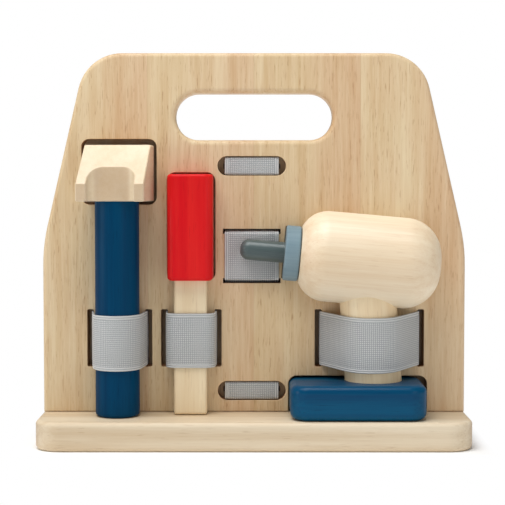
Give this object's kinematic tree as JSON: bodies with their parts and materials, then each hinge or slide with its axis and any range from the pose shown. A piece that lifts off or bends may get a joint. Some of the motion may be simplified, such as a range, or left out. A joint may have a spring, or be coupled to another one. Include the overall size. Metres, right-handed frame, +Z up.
{
  "type": "toy tool bench",
  "caption": "Upright wooden toy tool board on a base, with a carrying slot and elastic loops that hold a wooden hammer, screwdriver and power drill.",
  "frame": {"origin": "middle of the underside of the base board", "axes": "+X to the right along the board as seen from the tools' side, +Y away from the tools' side, +Z up"},
  "size_m": [0.2466, 0.0927, 0.2245],
  "materials": {
    "base_wood": "sealed pale beech with a satin lacquer",
    "panel_wood": "laminated beech boards, satin lacquer",
    "sheet_wood": "thin birch plywood, satin lacquer",
    "hammer_head_wood": "pale close-grained wood, satin lacquer",
    "handle_blue": "dark blue stain on wood, satin",
    "handle_red": "bright red stain on wood, satin",
    "shaft_wood": "bare pale wood, satin lacquer",
    "barrel_wood": "bare pale wood, satin lacquer",
    "grip_wood": "bare pale wood, satin lacquer",
    "ring_blue_grey": "blue-grey stain on wood, satin",
    "bit_grey": "dark grey stain on wood, satin",
    "elastic": "woven grey elastic with ribbed edges",
    "dowel_wood": "plain beech dowel",
    "steel": "zinc-plated steel"
  },
  "bodies": {
    "board": {"base_board": "base_wood", "upright_panel": "panel_wood", "back_sheet": "sheet_wood", "panel_dowels": "dowel_wood", "base_screws": "steel", "hammer_strap": "elastic", "screwdriver_strap": "elastic", "drill_strap": "elastic", "centre_strap": "elastic", "upper_anchor_bar": "dowel_wood", "lower_anchor_bar": "dowel_wood"},
    "hammer": {"hammer_head": "hammer_head_wood", "hammer_handle": "handle_blue"},
    "screwdriver": {"screwdriver_handle": "handle_red", "screwdriver_shaft": "shaft_wood"},
    "drill": {"drill_barrel": "barrel_wood", "drill_grip": "grip_wood", "drill_foot": "handle_blue", "bit_clip": "steel"},
    "chuck": {"chuck_ring": "ring_blue_grey", "drill_bit": "bit_grey"}
  },
  "joints": [
    {"name": "hammer_pull", "type": "slide", "parent": "board", "child": "hammer", "axis": [0, -1, 0], "range_m": [0, 0.09], "deforming": ["hammer_strap"]},
    {"name": "screwdriver_pull", "type": "slide", "parent": "board", "child": "screwdriver", "axis": [0, -1, 0], "range_m": [0, 0.08], "deforming": ["screwdriver_strap"]},
    {"name": "drill_pull", "type": "slide", "parent": "board", "child": "drill", "axis": [0, -1, 0], "range_m": [0, 0.09], "deforming": ["drill_strap"]},
    {"name": "chuck_spin", "type": "hinge", "parent": "drill", "child": "chuck", "pos_m": [0.02643, -0.0155, 0.10897], "axis": [-0.9962, 0, 0.0872], "continuous": true}
  ]
}
